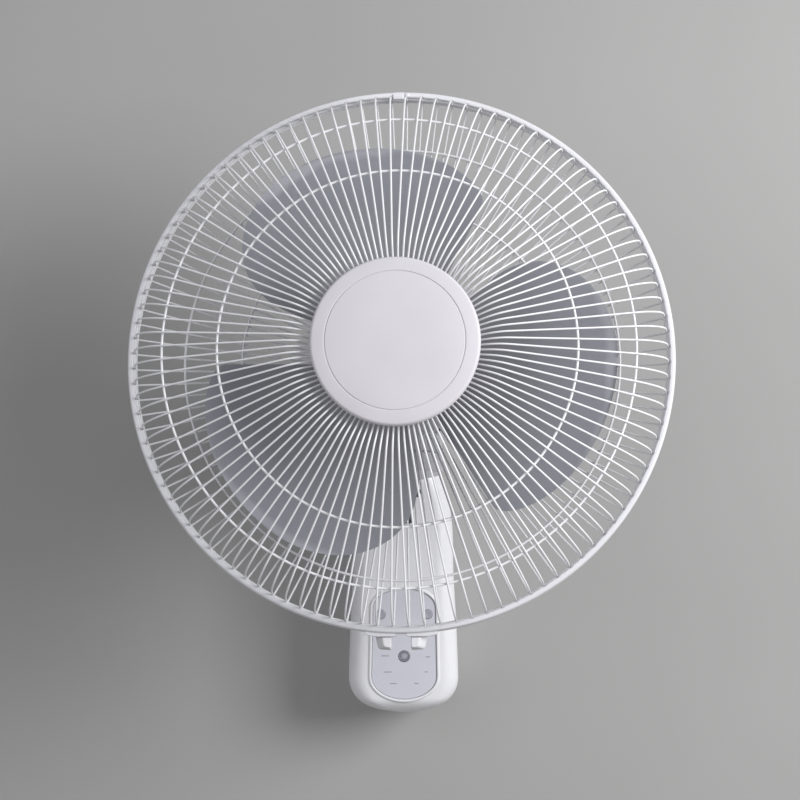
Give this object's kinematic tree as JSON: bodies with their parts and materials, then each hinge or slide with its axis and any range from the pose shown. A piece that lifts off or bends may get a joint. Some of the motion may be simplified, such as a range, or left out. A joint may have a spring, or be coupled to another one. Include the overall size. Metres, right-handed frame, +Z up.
{
  "type": "wall mounted fan",
  "caption": "Wall mounted fan: a column with a push button panel carries a tilting neck and a swinging head with a motor, a bladed impeller and a round wire guard.",
  "frame": {"origin": "centre of the back face of the wall bracket, on the wall", "axes": "+Z up, +Y into the wall, the fan blows towards -Y, +X to the right of whoever faces the fan"},
  "size_m": [0.4296, 0.3334, 0.5183],
  "materials": {
    "white_shell": "smooth white moulded plastic",
    "wire_white": "white powder coated steel wire",
    "badge_white": "satin white plastic",
    "blade_grey": "smoky translucent grey plastic",
    "panel_lilac": "satin lilac-grey plastic",
    "button_grey": "matte grey plastic",
    "eye_grey": "dark smoked plastic",
    "steel": "bright steel",
    "zinc": "zinc plated sheet",
    "lamination": "laminated steel",
    "copper": "enamelled copper wire",
    "board_green": "green circuit board",
    "gland_rubber": "soft pale rubber",
    "brass": "brass",
    "black_plastic": "black plastic"
  },
  "bodies": {
    "base": {"wall_bracket": "zinc", "back_shell": "white_shell", "front_cover": "white_shell", "tilt_yoke": "steel", "column_screw": "steel", "cord_gland": "gland_rubber", "panel_plate": "panel_lilac", "receiver_window": "eye_grey", "control_board": "board_green", "run_capacitor": "black_plastic", "power_board": "board_green", "tilt_bolt": "steel", "tilt_nut": "steel", "friction_washer_left": "brass", "friction_washer_right": "brass"},
    "neck": {"neck_arm": "white_shell", "swing_post": "steel", "anchor_pin": "steel"},
    "head": {"swing_bracket": "zinc", "swing_motor": "steel", "swing_tray": "white_shell", "motor_front_bell": "zinc", "motor_rear_bell": "zinc", "stator_core": "lamination", "front_winding": "copper", "rear_winding": "copper", "front_bearing": "steel", "rear_bearing": "steel", "motor_cover": "white_shell", "cover_screw_upper": "steel", "cover_screw_lower": "steel", "rear_guard": "wire_white", "rear_ring_1": "wire_white", "rear_ring_2": "wire_white", "rear_guard_nut": "white_shell", "front_guard": "wire_white", "front_ring_1": "wire_white", "front_ring_2": "wire_white", "guard_badge": "badge_white", "badge_clip": "white_shell", "rim_hoop": "white_shell"},
    "rotor_body": {"motor_shaft": "steel", "rotor": "lamination", "impeller": "blade_grey", "spinner_nut": "blade_grey", "drive_pin": "steel"},
    "crank": {"swing_crank": "brass"},
    "link": {"swing_link": "steel"},
    "left_button": {"button_left": "button_grey"},
    "right_button": {"button_right": "button_grey"},
    "left_latch": {"latch_tab_left": "white_shell"},
    "right_latch": {"latch_tab_right": "white_shell"}
  },
  "joints": [
    {"name": "tilt", "type": "hinge", "parent": "base", "child": "neck", "pos_m": [0, -0.06, 0.088], "axis": [1, 0, 0], "range_deg": [-7.2, 27.8]},
    {"name": "swing", "type": "hinge", "parent": "neck", "child": "head", "pos_m": [0, -0.14111, 0.16643], "axis": [0, 0.1357, 0.9907], "range_deg": [-37.7, 46.3]},
    {"name": "spin", "type": "hinge", "parent": "head", "child": "rotor_body", "pos_m": [0, -0.14111, 0.16643], "axis": [-0.075, -0.988, 0.1353], "continuous": true},
    {"name": "crank_turn", "type": "hinge", "parent": "head", "child": "crank", "pos_m": [0.00767, -0.09945, 0.16073], "axis": [0, 0.1357, 0.9907], "range_deg": [-69.5, 56.6]},
    {"name": "link_turn", "type": "hinge", "parent": "crank", "child": "link", "pos_m": [0.01717, -0.0991, 0.16068], "axis": [0, 0.1357, 0.9907], "range_deg": [-56.6, 69.5]},
    {"name": "left_button_press", "type": "slide", "parent": "base", "child": "left_button", "axis": [0, 1, 0], "range_m": [0, 0.0008], "stiffness_N_per_m": 900, "springref_m": -0.0006},
    {"name": "right_button_press", "type": "slide", "parent": "base", "child": "right_button", "axis": [0, 1, 0], "range_m": [0, 0.0008], "stiffness_N_per_m": 900, "springref_m": -0.0006},
    {"name": "left_latch_pinch", "type": "slide", "parent": "head", "child": "left_latch", "axis": [0.9972, -0.0743, 0.0102], "range_m": [0, 0.002], "stiffness_N_per_m": 700, "springref_m": -0.001},
    {"name": "right_latch_pinch", "type": "slide", "parent": "head", "child": "right_latch", "axis": [-0.9972, 0.0743, -0.0102], "range_m": [0, 0.002], "stiffness_N_per_m": 700, "springref_m": -0.001}
  ],
  "couplings": [
    {"joint": "crank_turn", "follows": "swing", "ratio": -1.5},
    {"joint": "link_turn", "follows": "swing", "ratio": 1.5}
  ]
}
